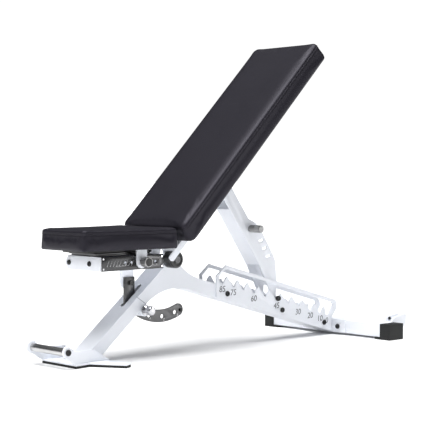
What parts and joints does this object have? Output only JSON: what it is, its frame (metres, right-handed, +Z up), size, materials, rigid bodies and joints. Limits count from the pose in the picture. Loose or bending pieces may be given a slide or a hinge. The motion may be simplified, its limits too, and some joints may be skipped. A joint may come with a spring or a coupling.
{
  "type": "adjustable weight bench",
  "caption": "Weight bench with a padded back on a ladder strut, a tilting sliding seat, a splayed front foot with carry handle and a rear crossbar with rubber caps",
  "frame": {"origin": "on the floor, under the middle of the bench's bounding box", "axes": "+X from the seat end to the rear feet, +Y to the left of someone sitting on the seat with their back on the pad, +Z up"},
  "size_m": [1.4594, 0.6384, 1.0754],
  "materials": {
    "white_frame": "smooth white powder coat",
    "black_hardware": "black oxide",
    "black_rubber": "moulded",
    "hub_plastic": "moulded",
    "hub_cap": "satin",
    "knurled_steel": "knurled",
    "cover_steel": "brushed, index holes punched",
    "blade_steel": "satin",
    "bright_steel": "polished",
    "bronze_bush": "turned",
    "pad_vinyl": "charcoal vinyl over foam",
    "pad_board": "black stained plywood"
  },
  "bodies": {
    "frame": {"front_foot_mat": "black_rubber", "front_foot_plate": "white_frame", "foot_side_plate_near": "white_frame", "foot_side_plate_far": "white_frame", "carry_handle": "knurled_steel", "handle_bolts": "black_hardware", "leg_tube": "white_frame", "spine_tube": "white_frame", "arch_gussets": "white_frame", "pivot_ears": "white_frame", "pivot_axle": "bright_steel", "hub_rollers": "hub_plastic", "hub_caps": "hub_cap", "ladder_plate_near": "white_frame", "ladder_plate_far": "white_frame", "ladder_bolts": "black_hardware", "rear_flange": "white_frame", "rear_crossbar": "white_frame", "crossbar_bolts": "black_hardware", "foot_cap_near": "black_rubber", "foot_cap_far": "black_rubber", "storage_bracket_near": "white_frame", "storage_bracket_far": "white_frame", "bracket_bolts": "black_hardware", "tilt_pin_housing": "white_frame"},
    "pivot_sleeve": {"pivot_bushes": "bronze_bush"},
    "back": {"back_pad": "pad_vinyl", "back_board": "pad_board", "back_tube": "white_frame", "back_straps": "white_frame", "back_screws": "black_hardware", "hinge_yoke": "white_frame", "strut_lugs": "white_frame"},
    "strut_hinge_pin": {"strut_pin": "bright_steel"},
    "strut": {"strut_plate_near": "white_frame", "strut_plate_far": "white_frame", "strut_web": "white_frame", "ladder_pin": "bright_steel", "strut_grip": "knurled_steel"},
    "carriage": {"carriage_front_plate": "white_frame", "carriage_rail_near": "white_frame", "carriage_rail_far": "white_frame", "cover_plate": "cover_steel", "cover_rivets": "bright_steel", "carriage_deck": "white_frame", "tilt_arm": "white_frame", "carriage_bolts": "black_hardware", "blade_hanger": "white_frame", "tilt_blade": "blade_steel", "blade_bolts": "black_hardware"},
    "slide_lower": {"slide_plate_lower": "blade_steel"},
    "slide_upper": {"slide_plate_upper": "blade_steel"},
    "seat": {"seat_frame": "black_hardware", "seat_board": "pad_board", "seat_pad": "pad_vinyl", "index_tab": "white_frame"},
    "seat_index_pin": {"index_pin": "bright_steel", "index_knob": "knurled_steel"},
    "blade_pin": {"tilt_pin": "bright_steel", "tilt_pin_knob": "bright_steel"}
  },
  "joints": [
    {"name": "back_recline", "type": "hinge", "parent": "frame", "child": "pivot_sleeve", "pos_m": [-0.25025, 0, 0.321], "axis": [0, 1, 0], "range_deg": [0, 45]},
    {"name": "back_raise", "type": "hinge", "parent": "pivot_sleeve", "child": "back", "pos_m": [-0.25025, 0, 0.321], "axis": [0, 1, 0], "range_deg": [-40, 0]},
    {"name": "strut_swing_recline", "type": "hinge", "parent": "back", "child": "strut_hinge_pin", "pos_m": [0.00077, 0, 0.57202], "axis": [0, 1, 0], "range_deg": [-73.8, 0]},
    {"name": "strut_swing_raise", "type": "hinge", "parent": "strut_hinge_pin", "child": "strut", "pos_m": [0.00077, 0, 0.57202], "axis": [0, 1, 0], "range_deg": [0, 46.4]},
    {"name": "seat_tilt", "type": "hinge", "parent": "frame", "child": "carriage", "pos_m": [-0.25025, 0, 0.321], "axis": [0, 1, 0], "range_deg": [0, 17]},
    {"name": "seat_slide_recline", "type": "slide", "parent": "carriage", "child": "slide_lower", "axis": [1, 0, 0], "range_m": [0, 0.08483]},
    {"name": "seat_slide_raise", "type": "slide", "parent": "slide_lower", "child": "slide_upper", "axis": [1, 0, 0], "range_m": [-0.0754, 0]},
    {"name": "seat_slide_tilt", "type": "slide", "parent": "slide_upper", "child": "seat", "axis": [1, 0, 0], "range_m": [-0.03205, 0]},
    {"name": "seat_pin_pull", "type": "slide", "parent": "seat", "child": "seat_index_pin", "axis": [0, -1, 0], "range_m": [0, 0.008], "stiffness_N_per_m": 400, "springref_m": -0.004},
    {"name": "blade_pin_pull", "type": "slide", "parent": "frame", "child": "blade_pin", "axis": [0, -1, 0], "range_m": [0, 0.01], "stiffness_N_per_m": 400, "springref_m": -0.004}
  ],
  "couplings": [
    {"joint": "strut_swing_recline", "follows": "back_recline", "ratio": -1.64},
    {"joint": "strut_swing_raise", "follows": "back_raise", "ratio": -1.16},
    {"joint": "seat_slide_recline", "follows": "back_recline", "m_per_rad": 0.108},
    {"joint": "seat_slide_raise", "follows": "back_raise", "m_per_rad": 0.108},
    {"joint": "seat_slide_tilt", "follows": "seat_tilt", "m_per_rad": -0.108}
  ]
}
